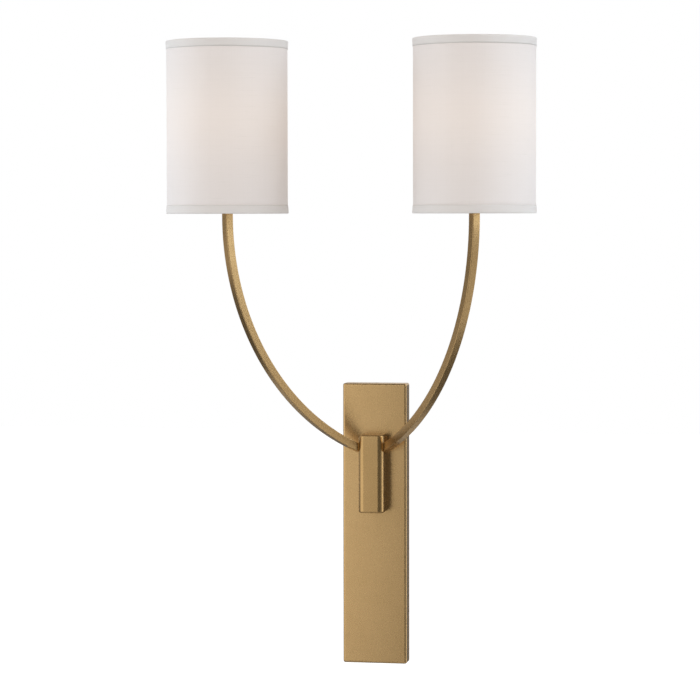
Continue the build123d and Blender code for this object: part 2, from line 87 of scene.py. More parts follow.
class SconceSizes(bpy.types.PropertyGroup):
    """Sizes of what the frame doesn't already give."""

    round_steps: count("Steps round a shade", "Facets round a drum shade", 192, 48)
    fine_steps: count("Steps round a thread", "Facets round a lamp holder or lamp cap", 96, 24)
    arm_root_reach: length("Arm root reach", "Wall to where the arms' lines meet", 0.022)
    arm_root_height: length("Arm root height", "Height where the arms' arcs meet", 0.0764)
    arm_bend_height: length("Arm bend height", "Height where each arm's arc starts", 0.3339)
    linen_thickness: length("Linen thickness", "Thickness of the shade cloth", 0.00045)
    linen_pitch: length("Linen thread pitch", "Distance between the linen's threads", 0.00062)
    linen_lap: length("Linen lap", "Width of the glued lap behind each shade", 0.009)
    linen_lap_rise: length("Linen lap rise", "How far the lapped edge stands proud", 0.00054)
    linen_rows: count("Linen rows", "Cuts up the height of the shade cloth", 15, 1)
    linen_glow_reach: length("Linen glow reach", "Height over which the linen's glow halves", 0.055)
    lining_thickness: length("Lining thickness", "Thickness of the shade's lining", 0.0006)
    lining_glow_reach: length("Lining glow reach", "Height over which the lining's glow halves", 0.05)
    tape_thickness: length("Tape thickness", "Thickness of the rim tape", 0.00035)
    tape_pitch: length("Tape thread pitch", "Distance between the tape's threads", 0.00045)
    tape_gap: length("Tape gap", "Gap from the linen to the tape's free edge", 0.00003)
    tape_lap: length("Tape lap", "Length of the tape's lapped end", 0.011)
    tape_lap_rise: length("Tape lap rise", "How far the lapped end stands proud", 0.0004)
    tape_turn_in: length("Tape turn-in", "How far the tape goes up inside the rim", 0.0065)
    tape_wrap: length("Tape wrap", "Height of the tape's wrap round the rim wire", 0.0043)
    tape_fold: length("Tape fold", "Radius of the tape's folds", 0.0011)
    tape_stretch: length("Tape stretch", "Longest stretch of tape that isn't cut into rows", 0.004)
    tape_wander: length("Tape wander", "How far the free edge wanders up and down", 0.00007)
    tape_lift: length("Tape lift", "How far the free edge wanders in and out", 0.00003)
    wire_thickness: length("Wire thickness", "Thickness of the shade's wires", 0.0025)
    fitter_thickness: length("Fitter thickness", "Thickness of the flat ring that holds the shade", 0.0016)
    moulding_gap: length("Moulding gap", "Gap from the holder's moulding to the metal in it", 0.00005)
    contact_gap: length("Contact gap", "Gap round the holder's centre contact", 0.0003)
    base_inset: length("Base inset", "How far the holder's base lies in from its flange", 0.004)
    base_chamfer: length("Base chamfer", "Chamfer at the foot of the holder", 0.003)
    flange_thickness: length("Flange thickness", "Thickness of the holder's flange", 0.0024)
    flange_round: length("Flange rounding", "Radius of the flange's edges", 0.0005)
    skirt_inset: length("Skirt inset", "How far the holder's skirt lies in from its flange", 0.0027)
    skirt_cuts: count("Skirt cuts", "Cuts up the height of the threaded skirt", 76, 12)
    skirt_pitch: length("Holder thread pitch", "Pitch of the skirt's thread", 0.002)
    skirt_depth: length("Holder thread depth", "Depth of the skirt's thread", 0.0007)
    skirt_run_out: length("Holder thread run-out", "Height over which its thread fades", 0.001)
    skirt_foot: length("Holder thread foot", "Plain skirt under its thread", 0.0006)
    skirt_head: length("Holder thread head", "Plain skirt above its thread", 0.0004)
    cap_wall: length("Cap wall", "Thickness of the lamp cap's collar", 0.00045)
    cap_collar: length("Cap collar", "Height of the lamp cap's collar", 0.003)
    cap_shelf: length("Cap shelf", "Thickness of the shelf under the collar", 0.0004)
    cap_inset: length("Cap thread inset", "How far the thread lies in from the collar", 0.00125)
    cap_lip: length("Cap lip", "Width of the lamp cap's turned-in end", 0.0012)
    cap_taper: length("Cap taper", "How far the cap narrows at its lower end", 0.0002)
    cap_taper_height: length("Cap taper height", "Height of that narrowing", 0.0006)
    cap_cuts: count("Cap cuts", "Cuts up the height of the threaded cap", 90, 12)
    cap_pitch: length("Lamp thread pitch", "Pitch of the lamp cap's thread", 0.00254)
    cap_depth: length("Lamp thread depth", "Depth of the lamp cap's thread", 0.0006)
    cap_run_out: length("Lamp thread run-out", "Height over which its thread fades", 0.0012)
    cap_foot: length("Lamp thread foot", "Plain cap under its thread", 0.0007)
    cap_head: length("Lamp thread head", "Plain cap above its thread", 0.0012)
    stem_height: length("Lamp stem", "Height of the glass stem under the filaments", 0.017)
    filament_foot: length("Filament foot", "Unlit wire above the stem", 0.001)
    filament_fade: length("Filament fade", "Height over which the filaments come alight", 0.0015)


class SconceFinishes(bpy.types.PropertyGroup):
    """Colours of the finishes, in linear light."""

    brass: colour("Brass", "Satin brass in even light", (0.520, 0.342, 0.155))
    brass_toned: colour("Toned brass", "Patches where the lacquer has toned", (0.425, 0.270, 0.112))
    linen: colour("Linen", "Shade cloth", (0.850, 0.803, 0.781))
    linen_slub: colour("Linen slubs", "Thicker and darker threads of the cloth", (0.735, 0.705, 0.670))
    tape: colour("Tape", "Rim tape", (0.805, 0.770, 0.737))
    lining: colour("Lining", "Stiff film inside each shade", (0.840, 0.825, 0.795))
    # The lamp glow is a painted glow: the linen and lining give it off as emission.
    glow: colour("Lamp glow", "Lamp light that comes through the shade", (1.000, 0.700, 0.400))
    wire: colour("Wire", "Stove-enamelled shade wires", (0.780, 0.770, 0.745))
    moulding: colour("Moulding", "Moulded lamp holder and shade ring", (0.690, 0.655, 0.575))
    terminal: colour("Terminal", "Moulded terminal block", (0.720, 0.710, 0.665))
    lead: colour("Lead sleeve", "Woven sleeve of the leads", (0.720, 0.690, 0.610))
    fibre: colour("Fibre", "Fibre washers", (0.260, 0.125, 0.060))
    zinc: colour("Zinc", "Bright zinc plate on steel", (0.560, 0.575, 0.590))
    zinc_yellow: colour("Yellowed zinc", "Yellowish clouds on the zinc plate", (0.600, 0.560, 0.440))
    earth: colour("Earth screw", "Green passivated earth screw", (0.060, 0.270, 0.110))
    contact: colour("Contact brass", "Bare brass of shells and contacts", (0.700, 0.500, 0.235))
    cap: colour("Lamp cap", "Nickel plate of the lamp caps", (0.610, 0.590, 0.550))
    glass: colour("Lamp glass", "Clear glass of the lamps", (1.000, 0.985, 0.955))
    glass_film: colour("Glass film", "Faint film in patches inside the glass", (0.970, 0.950, 0.920))
    stem: colour("Lamp stem", "Glass stem under the filaments", (0.720, 0.720, 0.700))
    # The stem glow is a painted glow: the stem gives it off as emission.
    stem_glow: colour("Stem glow", "Lamp light that the stem gives back", (0.020, 0.014, 0.006))
    filament_coat: colour("Filament coat", "Filaments before they are lit", (0.800, 0.580, 0.200))
    filament: colour("Filament", "Lit filaments", (1.000, 0.590, 0.220))
    filament_core: colour("Filament core", "Brighter bands of the lit filaments", (1.000, 0.800, 0.480))


def sizes():
    return bpy.context.scene.sconce_sizes


def finishes():
    return bpy.context.scene.sconce_finishes


def opaque(tint, share=1.0, lift=0.0):
    """Tint with an alpha of 1, taken to a share of itself and lifted towards white."""
    return tuple(share * part + lift for part in tint[:3]) + (1.0,)


# Node helpers


def put(tree, kind, inputs=None, **settings):
    """Adds a node, sets its options, and sets or links its inputs."""
    node = tree.nodes.new(kind)
    for key, value in settings.items():
        setattr(node, key, value)
    for key, value in (inputs or {}).items():
        if isinstance(value, bpy.types.NodeSocket):
            tree.links.new(value, node.inputs[key])
        else:
            node.inputs[key].default_value = value
    return node


def maths(tree, operation, *values):
    return put(tree, "ShaderNodeMath", dict(enumerate(values)), operation=operation).outputs[0]


def scaled(tree, value, times, plus=0.0):
    return maths(tree, "MULTIPLY_ADD", value, times, plus)


def vector_maths(tree, operation, first, second):
    inputs = {0: first, "Scale" if operation == "SCALE" else 1: second}
    return put(tree, "ShaderNodeVectorMath", inputs, operation=operation).outputs[0]


def parts_of(tree, vector):
    return put(tree, "ShaderNodeSeparateXYZ", {0: vector}).outputs


def grey_of(tree, value):
    """Colour with the same value in its three parts."""
    return put(tree, "ShaderNodeCombineColor", {0: value, 1: value, 2: value}).outputs[0]


def blend_values(tree, share, low, high):
    node = put(tree, "ShaderNodeMix", {0: share, 2: low, 3: high}, data_type="FLOAT")
    return node.outputs[0]


def blend_colours(tree, share, low, high, mode="MIX"):
    node = put(tree, "ShaderNodeMix", {0: share, 6: low, 7: high}, data_type="RGBA", blend_type=mode)
    return node.outputs[2]


def ramp(tree, value, start, end, low=0.0, high=1.0, smooth=True):
    """Value from start to end, taken to low to high."""
    node = put(
        tree,
        "ShaderNodeMapRange",
        {"Value": value, "From Min": start, "From Max": end, "To Min": low, "To Max": high},
        interpolation_type="SMOOTHSTEP" if smooth else "LINEAR",
    )
    return node.outputs[0]


def noise(tree, vector, scale, detail=2.0, roughness=0.5):
    node = put(
        tree,
        "ShaderNodeTexNoise",
        {"Vector": vector, "Scale": scale, "Detail": detail, "Roughness": roughness},
    )
    return node.outputs["Fac"]


def bands(tree, vector, scale, direction, distortion):
    node = put(
        tree,
        "ShaderNodeTexWave",
        {"Vector": vector, "Scale": scale, "Distortion": distortion},
        wave_type="BANDS",
        bands_direction=direction,
    )
    return node.outputs["Fac"]


def mapped(tree, vector, rotation=(0, 0, 0), scale=(1, 1, 1)):
    node = put(tree, "ShaderNodeMapping", {"Vector": vector, "Rotation": rotation, "Scale": scale})
    return node.outputs[0]


def object_place(tree):
    return put(tree, "ShaderNodeTexCoord").outputs["Object"]


def bumped(tree, height, strength, distance=FINE_RELIEF):
    node = put(tree, "ShaderNodeBump", {"Height": height, "Strength": strength, "Distance": distance})
    return node.outputs[0]


# Node groups


def new_group(name, values, outputs):
    """Group with a vector and these values as inputs; returns its tree, inputs and output node."""
    tree = bpy.data.node_groups.new(name, "ShaderNodeTree")
    tree.interface.new_socket(name="Vector", in_out="INPUT", socket_type="NodeSocketVector")
    for label, value in values.items():
        socket = tree.interface.new_socket(name=label, in_out="INPUT", socket_type="NodeSocketFloat")
        socket.default_value = value
    for label in outputs:
        tree.interface.new_socket(name=label, in_out="OUTPUT", socket_type="NodeSocketFloat")
    return tree, put(tree, "NodeGroupInput").outputs, put(tree, "NodeGroupOutput")


def build_weave(name):
    """Plain weave on coordinates in metres: thread height, slubs and each thread's own tint."""
    tree, given, out = new_group(name, {"Pitch": 0.0006, "Wobble": 0.5}, ["Height", "Slub", "Tint"])
    place = given["Vector"]
    drift = put(tree, "ShaderNodeTexNoise", {"Vector": place, "Scale": 260.0, "Detail": 1.0})
    centred = vector_maths(tree, "SUBTRACT", drift.outputs["Color"], (0.5, 0.5, 0.5))
    sway = maths(tree, "MULTIPLY", given["Wobble"], given["Pitch"])
    moved = vector_maths(tree, "ADD", place, vector_maths(tree, "SCALE", centred, sway))
    cells = vector_maths(tree, "SCALE", moved, maths(tree, "DIVIDE", 1.0, given["Pitch"]))
    column_way, row_way, _ = parts_of(tree, cells)

    def rounded(way):
        """Round tops of threads, one to a cell."""
        return maths(tree, "ABSOLUTE", maths(tree, "SINE", maths(tree, "MULTIPLY", way, math.pi)))

    def pressed(thread, crossing):
        """Thread that dips where another crosses it."""
        return maths(tree, "MULTIPLY", thread, scaled(tree, crossing, times=0.4, plus=0.6))

    def own_tint(way):
        """One random value for each thread."""
        node = put(
            tree, "ShaderNodeTexWhiteNoise", {"W": maths(tree, "FLOOR", way)}, noise_dimensions="1D"
        )
        return node.outputs["Value"]

    across, along = rounded(column_way), rounded(row_way)
    over = put(tree, "ShaderNodeTexChecker", {"Vector": cells, "Scale": 1.0}).outputs["Fac"]
    weave = blend_values(tree, over, pressed(across, along), pressed(along, across))
    # Slubs, in noise cells per metre: few along a thread and many across it
    weft_slubs = noise(tree, mapped(tree, place, scale=(28, 1300, 1)), scale=1.0)
    warp_slubs = noise(tree, mapped(tree, place, scale=(1300, 34, 1)), scale=1.0)
    slub = maths(
        tree,
        "MAXIMUM",
        ramp(tree, weft_slubs, start=0.60, end=0.76),
        ramp(tree, warp_slubs, start=0.64, end=0.80, high=0.7),
    )
    tint = blend_values(tree, over, own_tint(column_way), own_tint(row_way))
    tree.links.new(scaled(tree, slub, times=0.35, plus=weave), out.inputs["Height"])
    tree.links.new(slub, out.inputs["Slub"])
    tree.links.new(tint, out.inputs["Tint"])
    return tree


def build_grain(name):
    """Brushed or rolled metal: fine lines along Z of the given vector, clouds and smaller smudges."""
    values = {"Line Scale": 2600.0, "Line Stretch": 0.012, "Cloud Scale": 26.0}
    tree, given, out = new_group(name, values, ["Lines", "Clouds", "Smudges"])
    place = given["Vector"]
    stretch = put(tree, "ShaderNodeCombineXYZ", {0: 1.0, 1: 1.0, 2: given["Line Stretch"]})
    drawn = vector_maths(tree, "MULTIPLY", place, stretch.outputs[0])
    lines = noise(tree, drawn, given["Line Scale"], detail=3.0, roughness=0.6)
    clouds = noise(tree, place, given["Cloud Scale"], detail=3.0, roughness=0.55)
    smudge_scale = maths(tree, "MULTIPLY", given["Cloud Scale"], 5.0)
    smudges = noise(tree, place, smudge_scale, detail=4.0, roughness=0.6)
    tree.links.new(lines, out.inputs["Lines"])
    tree.links.new(ramp(tree, clouds, start=0.35, end=0.70), out.inputs["Clouds"])
    tree.links.new(ramp(tree, smudges, start=0.40, end=0.72), out.inputs["Smudges"])
    return tree


def build_moulded(name):
    """Moulded or stoved surface: a fine even texture, faint soft patches and specks of dust."""
    tree, given, out = new_group(name, {"Texture Scale": 1800.0}, ["Texture", "Patches", "Dust"])
    place = given["Vector"]
    specks = noise(tree, place, scale=900.0, detail=4.0, roughness=0.7)
    tree.links.new(noise(tree, place, given["Texture Scale"]), out.inputs["Texture"])
    tree.links.new(noise(tree, place, scale=70.0, detail=3.0), out.inputs["Patches"])
    tree.links.new(ramp(tree, specks, start=0.62, end=0.78), out.inputs["Dust"])
    return tree


GROUPS = {"Plain weave": build_weave, "Metal grain": build_grain, "Moulded surface": build_moulded}


def use_group(tree, name, vector, **values):
    """Places a group, built the first time; value names have underscores for spaces here."""
    made = bpy.data.node_groups.get(name) or GROUPS[name](name)
    inputs = {key.replace("_", " "): value for key, value in values.items()}
    return put(tree, "ShaderNodeGroup", {"Vector": vector, **inputs}, node_tree=made).outputs


def new_material(name):
    """Empty material; returns it, its tree and its Principled BSDF."""
    material = bpy.data.materials.new(name)
    material.use_nodes = True
    material.node_tree.nodes.clear()
    tree = material.node_tree
    shader = put(tree, "ShaderNodeBsdfPrincipled")
    put(tree, "ShaderNodeOutputMaterial", {"Surface": shader.outputs[0]})
    return material, tree, shader


def feed(tree, shader, **sockets):
    """Sets or links the shader's sockets, whose names have underscores for spaces here."""
    for key, value in sockets.items():
        socket = shader.inputs[key.replace("_", " ")]
        if isinstance(value, bpy.types.NodeSocket):
            tree.links.new(value, socket)
        else:
            socket.default_value = value


# Finishes


def brass_finish(name, vector_of, tone=0.0, roughness=0.25):
    """Satin brass, toned all over by a share, whose brushing runs along Z of vector_of's vector."""
    material, tree, shader = new_material(name)
    look = finishes()
    grain = use_group(tree, "Metal grain", vector_of(tree))
    toned = scaled(tree, grain["Clouds"], times=0.18, plus=tone)
    base = blend_colours(tree, toned, opaque(look.brass), opaque(look.brass_toned))
    lines = ramp(tree, grain["Lines"], start=0.30, end=0.75, low=0.975, high=1.025, smooth=False)
    worn = scaled(tree, grain["Smudges"], times=0.02, plus=roughness)
    feed(
        tree,
        shader,
        Base_Color=blend_colours(tree, 1.0, base, grey_of(tree, lines), "MULTIPLY"),
        Metallic=1.0,
        Roughness=scaled(tree, grain["Lines"], times=0.03, plus=worn),
        Normal=bumped(tree, grain["Lines"], strength=0.015),
    )
    return material


def arm_grain(side):
    """Brushing that follows an arm: Z of the vector is the way round the arm's arc."""
    size = sizes()
    top = shade_axis(side)
    sign = -1 if side == "left" else 1
    reach = Vector((-top.x, -size.arm_root_reach - top.y))
    angle = math.atan2(reach.y, reach.x)
    run = reach.length
    drop = size.arm_bend_height - size.arm_root_height
    radius = (run * run + drop * drop) / (2 * run)
    centre = Vector((top.x, top.y, size.arm_bend_height)) + reach.normalized().to_3d() * radius

    def vector_of(tree):
        placed = vector_maths(tree, "SUBTRACT", object_place(tree), centre)
        ahead, aside, height = parts_of(tree, mapped(tree, placed, rotation=(0, 0, -angle)))
        squared = maths(tree, "MULTIPLY_ADD", ahead, ahead, maths(tree, "MULTIPLY", height, height))
        out = maths(tree, "SQRT", squared)
        # The arc's angle jumps behind its centre line, so it is kept positive all the way round.
        turn = maths(tree, "ABSOLUTE", maths(tree, "ARCTAN2", height, ahead))
        way = maths(tree, "MULTIPLY", turn, sign * radius)
        return put(tree, "ShaderNodeCombineXYZ", {0: out, 1: aside, 2: way}).outputs[0]

    return vector_of


def glow_at_lamp(tree, most, reach):
    """Painted lamp glow, given as emission, by height: the most beside the filaments, and half of it this
    far above or below.
    """
    lamp_low, lamp_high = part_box("left_bulb_glass")
    middle = (lamp_low.z + lamp_high.z) / 2
    height = parts_of(tree, object_place(tree))[2]
    away = maths(tree, "DIVIDE", maths(tree, "SUBTRACT", height, middle), reach)
    fall = maths(tree, "ADD", maths(tree, "MULTIPLY", away, away), 1.0)
    share = maths(tree, "DIVIDE", most, fall)
    return blend_colours(tree, share, BLACK, opaque(finishes().glow))


def cloth_finish(name, cloth, pitch, bump, glow=0.0):
    """Woven cloth on the piece's own UV map, in metres, with a painted glow of the lamp, as emission, at
    its height.
    """
    material, tree, shader = new_material(name)
    slub_tint = opaque(finishes().linen_slub)
    relief = 0.35 * pitch
    flat = put(tree, "ShaderNodeUVMap", uv_map="Cloth").outputs[0]
    weave = use_group(tree, "Plain weave", flat, Pitch=pitch, Wobble=0.6)
    thread = blend_colours(tree, scaled(tree, weave["Tint"], times=0.14), opaque(cloth), slub_tint)
    feed(
        tree,
        shader,
        Base_Color=blend_colours(tree, scaled(tree, weave["Slub"], times=0.45), thread, slub_tint),
        Roughness=scaled(tree, weave["Height"], times=-0.10, plus=0.92),
        Sheen_Weight=0.12,
        Sheen_Roughness=0.6,
        Specular_IOR_Level=0.25,
        Normal=bumped(tree, weave["Height"], strength=bump, distance=relief),
    )
    # Painted glow: emission that stands in for lamp light coming through the cloth
    if glow:
        lit = glow_at_lamp(tree, glow, sizes().linen_glow_reach)
        through = grey_of(tree, blend_values(tree, weave["Height"], low=0.86, high=1.0))
        feed(
            tree,
            shader,
            Emission_Color=blend_colours(tree, 1.0, lit, through, "MULTIPLY"),
            Emission_Strength=1.0,
        )
    return material


def lining_finish():
    """Stiff film with a painted glow, as emission, where the lamp would light it from inside the shade."""
    material, tree, shader = new_material("shade_lining")
    look = finishes()
    made = use_group(tree, "Moulded surface", object_place(tree), Texture_Scale=600.0)
    patches = scaled(tree, made["Patches"], times=0.16)
    feed(
        tree,
        shader,
        Base_Color=blend_colours(tree, patches, opaque(look.lining), opaque(look.linen_slub)),
        Roughness=scaled(tree, made["Texture"], times=0.12, plus=0.42),
        # Painted glow: emission that stands in for lamp light on the lining
        Emission_Color=glow_at_lamp(tree, 0.34, sizes().lining_glow_reach),
        Emission_Strength=1.0,
        Normal=bumped(tree, made["Texture"], strength=0.08, distance=2 * FINE_RELIEF),
    )
    return material


def moulded_finish(name, tint, roughness, texture=1800.0, bump=0.08, metallic=0.0):
    """Moulded, stoved or dyed surface in one tint with patches and a trace of dust."""
    material, tree, shader = new_material(name)
    made = use_group(tree, "Moulded surface", object_place(tree), Texture_Scale=texture)
    deep = opaque(tint, share=0.78)
    dusty = opaque(tint, share=0.85, lift=0.12)
    patched = blend_colours(tree, scaled(tree, made["Patches"], times=0.45), opaque(tint), deep)
    feed(
        tree,
        shader,
        Base_Color=blend_colours(tree, scaled(tree, made["Dust"], times=0.18), patched, dusty),
        Metallic=metallic,
        Roughness=scaled(tree, made["Texture"], times=0.16, plus=roughness),
        Normal=bumped(tree, made["Texture"], strength=bump),
    )
    return material


def plated_finish(name, tint, roughness):
    """Drawn or plated metal in one tint, with rolling lines and soft clouds."""
    material, tree, shader = new_material(name)
    grain = use_group(tree, "Metal grain", object_place(tree), Line_Scale=2200.0, Cloud_Scale=60.0)
    clouds = scaled(tree, grain["Clouds"], times=0.5)
    feed(
        tree,
        shader,
        Base_Color=blend_colours(tree, clouds, opaque(tint), opaque(tint, share=0.72)),
        Metallic=1.0,
        Roughness=scaled(tree, grain["Smudges"], times=0.14, plus=roughness),
        Normal=bumped(tree, grain["Lines"], strength=0.12),
    )
    return material


def zinc_finish():
    """Zinc plate with the faint crystals that it freezes in."""
    material, tree, shader = new_material("zinc_steel")
    look = finishes()
    place = object_place(tree)
    crystals = put(tree, "ShaderNodeTexVoronoi", {"Vector": place, "Scale": 260.0})
    facet = put(tree, "ShaderNodeSeparateColor", {0: crystals.outputs["Color"]}).outputs[0]
    grain = use_group(tree, "Metal grain", place, Cloud_Scale=40.0)
    deep = opaque(look.zinc, share=0.74)
    plated = blend_colours(tree, scaled(tree, facet, times=0.55), opaque(look.zinc), deep)
    clouds = scaled(tree, grain["Clouds"], times=0.28)
    feed(
        tree,
        shader,
        Base_Color=blend_colours(tree, clouds, plated, opaque(look.zinc_yellow)),
        Metallic=1.0,
        Roughness=scaled(tree, facet, times=0.16, plus=0.34),
        Normal=bumped(tree, grain["Lines"], strength=0.08),
    )
    return material


def sleeve_finish():
    """Woven sleeve: two crossing sets of slanted strands."""
    material, tree, shader = new_material("lead_sleeve")
    look = finishes()
    place = object_place(tree)
    strands = [
        bands(tree, mapped(tree, place, scale=(slant, 1, 1)), 260.0, "DIAGONAL", distortion=0.6)
        for slant in (-1, 1)
    ]
    crossed = maths(tree, "MAXIMUM", *strands)
    made = use_group(tree, "Moulded surface", place)
    deep = opaque(look.lead, share=0.6)
    woven = blend_colours(tree, crossed, deep, opaque(look.lead))
    feed(
        tree,
        shader,
        Base_Color=blend_colours(tree, scaled(tree, made["Patches"], times=0.25), woven, deep),
        Roughness=scaled(tree, made["Texture"], times=0.15, plus=0.70),
        Normal=bumped(tree, crossed, strength=0.5, distance=3 * FINE_RELIEF),
    )
    return material


def glass_finish():
    """Clear blown glass with a faint film and a little dust."""
    material, tree, shader = new_material("lamp_glass")
    look = finishes()
    made = use_group(tree, "Moulded surface", object_place(tree), Texture_Scale=160.0)
    feed(
        tree,
        shader,
        Base_Color=blend_colours(tree, made["Patches"], opaque(look.glass), opaque(look.glass_film)),
        Metallic=0.0,
        Transmission_Weight=1.0,
        IOR=1.48,
        Roughness=scaled(tree, made["Dust"], times=0.05),
        Normal=bumped(tree, made["Texture"], strength=0.03, distance=4 * FINE_RELIEF),
    )
    return material


def filament_finish():
    """Pale stem below with a faint painted glow as emission, lit filaments above."""
    material, tree, shader = new_material("lamp_filament")
    look, size = finishes(), sizes()
    place = object_place(tree)
    lit_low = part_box("left_bulb_filaments")[0].z + size.stem_height + size.filament_foot
    lit = ramp(tree, parts_of(tree, place)[2], lit_low, lit_low + size.filament_fade)
    coils = bands(tree, place, 320.0, "Z", distortion=0.0)
    shining = blend_colours(tree, coils, opaque(look.filament), opaque(look.filament_core))
    feed(
        tree,
        shader,
        Base_Color=blend_colours(tree, lit, opaque(look.stem), opaque(look.filament_coat)),
        Roughness=scaled(tree, coils, times=0.15, plus=0.35),
        # Below the filaments the stem emits a painted glow; above, the lit filaments shine
        Emission_Color=blend_colours(tree, lit, opaque(look.stem_glow), shining),
        Emission_Strength=1.6,
    )
    return material


# Mesh helpers


def shade_axis(side):
    """Middle of a shade on plan, at its lower rim."""
    lo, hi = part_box(f"{side}_shade_fabric")
    return Vector(((lo.x + hi.x) / 2, (lo.y + hi.y) / 2, lo.z))


def on_axis(side, height=0.0):
    """Place at a height on the axis of a shade and its lamp."""
    axis = shade_axis(side)
    return Vector((axis.x, axis.y, height))


def radius_of(name):
    """Radius of a round CAD node."""
    lo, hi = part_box(name)
    return (hi.x - lo.x) / 2


def outline_mesh(outline, closed):
    """Bmesh with one line of edges through (radius, height) points, in the XZ half plane."""
    mesh = bmesh.new()
    points = [mesh.verts.new((radius, 0, height)) for radius, height in outline]
    pairs = list(zip(points, points[1:]))
    if closed:
        pairs.append((points[-1], points[0]))
    for pair in pairs:
        mesh.edges.new(pair)
    mesh.verts.ensure_lookup_table()
    mesh.edges.ensure_lookup_table()
    return mesh


def round_corners(mesh, corners, radius, segments=3):
    bmesh.ops.bevel(
        mesh,
        geom=[mesh.verts[corner] for corner in corners],
        offset=radius,
        offset_type="OFFSET",
        segments=segments,
        profile=0.5,
        affect="VERTICES",
        material=-1,
    )


def cut_edge(mesh, edge, cuts):
    """Cuts one edge of an outline into rows."""
    bmesh.ops.subdivide_edges(mesh, edges=[edge], cuts=cuts)
    mesh.verts.ensure_lookup_table()


def spin(mesh, angle, steps, merge=False):
    bmesh.ops.spin(
        mesh,
        geom=mesh.verts[:] + mesh.edges[:],
        cent=(0, 0, 0),
        axis=(0, 0, 1),
        angle=angle,
        steps=steps,
        use_merge=merge,
    )


def spin_round(mesh, steps):
    """Spins the outline once round Z, and closes its seam and poles."""
    spin(mesh, FULL_TURN, steps, merge=True)
    bmesh.ops.remove_doubles(mesh, verts=mesh.verts[:], dist=MERGE_GAP)
    bmesh.ops.recalc_face_normals(mesh, faces=mesh.faces[:])


def face_outwards(mesh, beyond=0.0):
    """Turns an open sheet round if its faces beyond a radius point at the axis."""
    outward = 0.0
    for face in mesh.faces:
        middle = face.calc_center_median()
        if middle.xy.length > beyond:
            outward += face.normal.dot(middle.xy.to_3d())
    if outward < 0:
        bmesh.ops.reverse_faces(mesh, faces=mesh.faces[:])


def push_out(vert, distance):
    """Moves a vert away from the axis."""
    share = 1 + distance / vert.co.xy.length
    vert.co.x *= share
    vert.co.y *= share


def cut_thread(mesh, radius, low, high, pitch, depth, run_out):
    """Presses a screw thread into the verts on this radius between two heights."""
    for vert in mesh.verts:
        height = vert.co.z
        if abs(vert.co.xy.length - radius) > RADIUS_GAP or not low <= height <= high:
            continue
        turn = math.atan2(vert.co.y, vert.co.x)
        wave = (1 - math.cos(FULL_TURN * (height - low) / pitch - turn)) / 2
        ends = min(1.0, (height - low) / run_out, (high - height) / run_out)
        push_out(vert, -depth * wave * ends)


def add_object(mesh, name, material):
    """Turns a bmesh into an object of the scene."""
    data = bpy.data.meshes.new(name)
    mesh.to_mesh(data)
    mesh.free()
    data.materials.append(material)
    made = bpy.data.objects.new(name, data)
    bpy.context.scene.collection.objects.link(made)
    return made


def finish_piece(mesh, name, material, body, replaced, at):
    """Turns a bmesh into a piece that rides on a body and stands for CAD nodes."""
    bmesh.ops.translate(mesh, verts=mesh.verts[:], vec=at)
    piece = add_object(mesh, name, material)
    piece.data.shade_smooth()
    piece.data.set_sharp_from_angle(angle=math.radians(SHARP_DEG))
    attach(piece, body)
    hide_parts(*replaced)
    return piece


def thicken(piece, thickness, offset):
    """Gives a sheet its thickness, inwards for an offset of -1 and both ways for 0."""
    wall = piece.modifiers.new("Cloth thickness", "SOLIDIFY")
    wall.thickness = thickness
    wall.offset = offset


def paint(material, *names):
    """Gives CAD nodes a finish of their own."""
    for name in names:
        data = NODES[name].data
        data.materials.clear()
        data.materials.append(material)


def both(name):
    return [f"{side}_{name}" for side in SIDES]


# Pieces


class SCONCE_OT_brass(bpy.types.Operator):
    """Satin brass on the pan, the block, the arms, their couplings and the spun cups"""

    bl_idname = "sconce.brass"
    bl_label = "Brass"

    def execute(self, context):
        upright = brass_finish("satin_brass", object_place)
        paint(upright, "backplate", *both("coupling"), *both("socket_cup"))
        # The block's brass is toned darker all over: painted shade, for the darker front the block shows
        # beside the plate.
        paint(brass_finish("satin_brass_block_shaded", object_place, tone=0.7), "arm_block")
        for side in SIDES:
            paint(brass_finish(f"satin_brass_{side}_arm", arm_grain(side)), f"{side}_arm")
        return {"FINISHED"}


class SCONCE_OT_linen(bpy.types.Operator):
    """Linen of each drum shade, one cut of cloth lapped and glued at the back"""

    bl_idname = "sconce.linen"
    bl_label = "Shade linen"

    # Steps of the spin over which the lapped edge rises
    rise_steps = 2

    def execute(self, context):
        size = sizes()
        finish = cloth_finish("shade_linen", finishes().linen, size.linen_pitch, bump=0.35, glow=0.12)
        for side in SIDES:
            self.wrap(side, size, finish)
        return {"FINISHED"}

    def wrap(self, side, size, finish):
        """Wraps one drum, from the middle of its back all the way round to the lap."""
        lo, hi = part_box(f"{side}_shade_fabric")
        radius = radius_of(f"{side}_shade_fabric")
        turn = FULL_TURN + size.linen_lap / radius
        mesh = bmesh.new()
        low = mesh.verts.new((0, radius, lo.z))
        high = mesh.verts.new((0, radius, hi.z))
        cut_edge(mesh, mesh.edges.new((low, high)), size.linen_rows)
        rows = len(mesh.verts)
        spin(mesh, turn, size.round_steps)
        step_way = turn * radius / size.round_steps
        way = {vert: index // rows * step_way for index, vert in enumerate(mesh.verts)}
        rise_way = self.rise_steps * step_way
        rise_start = FULL_TURN * radius - rise_way
        for vert in mesh.verts:
            share = min(1.0, max(0.0, (way[vert] - rise_start) / rise_way))
            push_out(vert, share * size.linen_lap_rise)
        bmesh.ops.recalc_face_normals(mesh, faces=mesh.faces[:])
        face_outwards(mesh)
        layer = mesh.loops.layers.uv.new("Cloth")
        for face in mesh.faces:
            for loop in face.loops:
                loop[layer].uv = (way[loop.vert], loop.vert.co.z - lo.z)
        piece = finish_piece(
            mesh,
            f"{side}_linen",
            finish,
            f"{side}_shade",
            [f"{side}_shade_fabric"],
            at=on_axis(side),
        )
        thicken(piece, size.linen_thickness, offset=-1.0)


